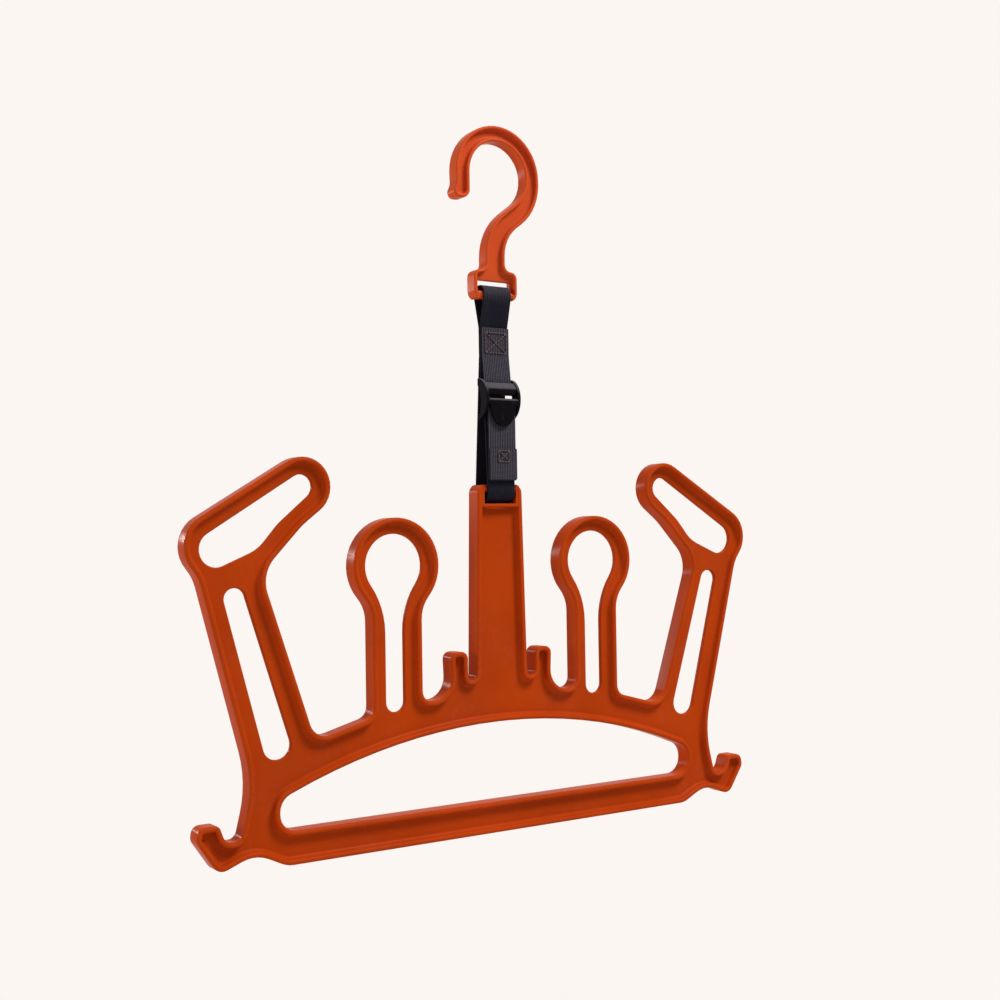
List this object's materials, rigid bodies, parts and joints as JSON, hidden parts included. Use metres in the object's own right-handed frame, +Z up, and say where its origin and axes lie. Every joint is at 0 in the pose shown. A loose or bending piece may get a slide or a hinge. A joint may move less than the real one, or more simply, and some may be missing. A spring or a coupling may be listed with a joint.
{
  "type": "wetsuit hanger",
  "caption": "Wide moulded wetsuit hanger with arm loops, keyhole prongs and a garment bar, hung by an adjustable webbing strap from a moulded hook.",
  "frame": {"origin": "seat of the hook, the point of its arch that lies on a rod, straight above the middle of the frame", "axes": "+X to the viewer's right along the frame, +Y away from the viewer through the mouldings, +Z up"},
  "size_m": [0.508, 0.024, 0.5466],
  "materials": {
    "frame_plastic": "satin moulded polypropylene, burnt orange",
    "hook_plastic": "satin moulded polypropylene, lighter orange",
    "webbing": "woven dark grey-blue webbing",
    "buckle_plastic": "glossy black moulded acetal",
    "thread": "maroon sewing thread"
  },
  "bodies": {
    "hook": {"hook_moulding": "hook_plastic"},
    "strap_loop": {"strap_hook_loop": "webbing"},
    "strap_top": {"strap_sewn_flap": "webbing", "strap_sewn_back": "webbing", "box_stitch": "thread"},
    "buckle": {"ladder_lock_buckle": "buckle_plastic", "strap_grip_wrap": "webbing"},
    "strap_foot": {"strap_mast_loop": "webbing", "strap_back_run": "webbing", "strap_front_run": "webbing"},
    "strap_end": {"strap_tail": "webbing", "strap_hem": "webbing", "hem_stitch": "thread"},
    "frame": {"frame_moulding": "frame_plastic"}
  },
  "joints": [
    {"name": "hook_swing", "type": "hinge", "parent": "hook", "child": "strap_loop", "pos_m": [0, 0, -0.1203], "axis": [1, 0, 0], "range_deg": [-75, 75]},
    {"name": "strap_twist", "type": "hinge", "parent": "strap_loop", "child": "strap_top", "pos_m": [0, 0, -0.1455], "axis": [0, 0, 1], "range_deg": [-45, 45], "stiffness_Nm_per_rad": 0.02},
    {"name": "buckle_tilt", "type": "hinge", "parent": "strap_top", "child": "buckle", "pos_m": [0, -0.0027, -0.1888], "axis": [-1, 0, 0], "range_deg": [0, 25], "stiffness_Nm_per_rad": 0.004, "deforming": ["strap_front_run", "strap_tail"]},
    {"name": "strap_adjust", "type": "slide", "parent": "strap_top", "child": "strap_foot", "axis": [0, 0, 1], "range_m": [-0.008, 0.03], "deforming": ["strap_back_run", "strap_front_run"]},
    {"name": "tail_travel", "type": "slide", "parent": "strap_top", "child": "strap_end", "axis": [0, 0, 1], "range_m": [-0.06, 0.016], "deforming": ["strap_tail", "strap_hem"]},
    {"name": "frame_swing", "type": "hinge", "parent": "strap_foot", "child": "frame", "pos_m": [0, 0, -0.2703], "axis": [1, 0, 0], "range_deg": [-60, 60], "deforming": ["strap_hem"]}
  ],
  "couplings": [
    {"joint": "tail_travel", "follows": "strap_adjust", "ratio": -2}
  ]
}
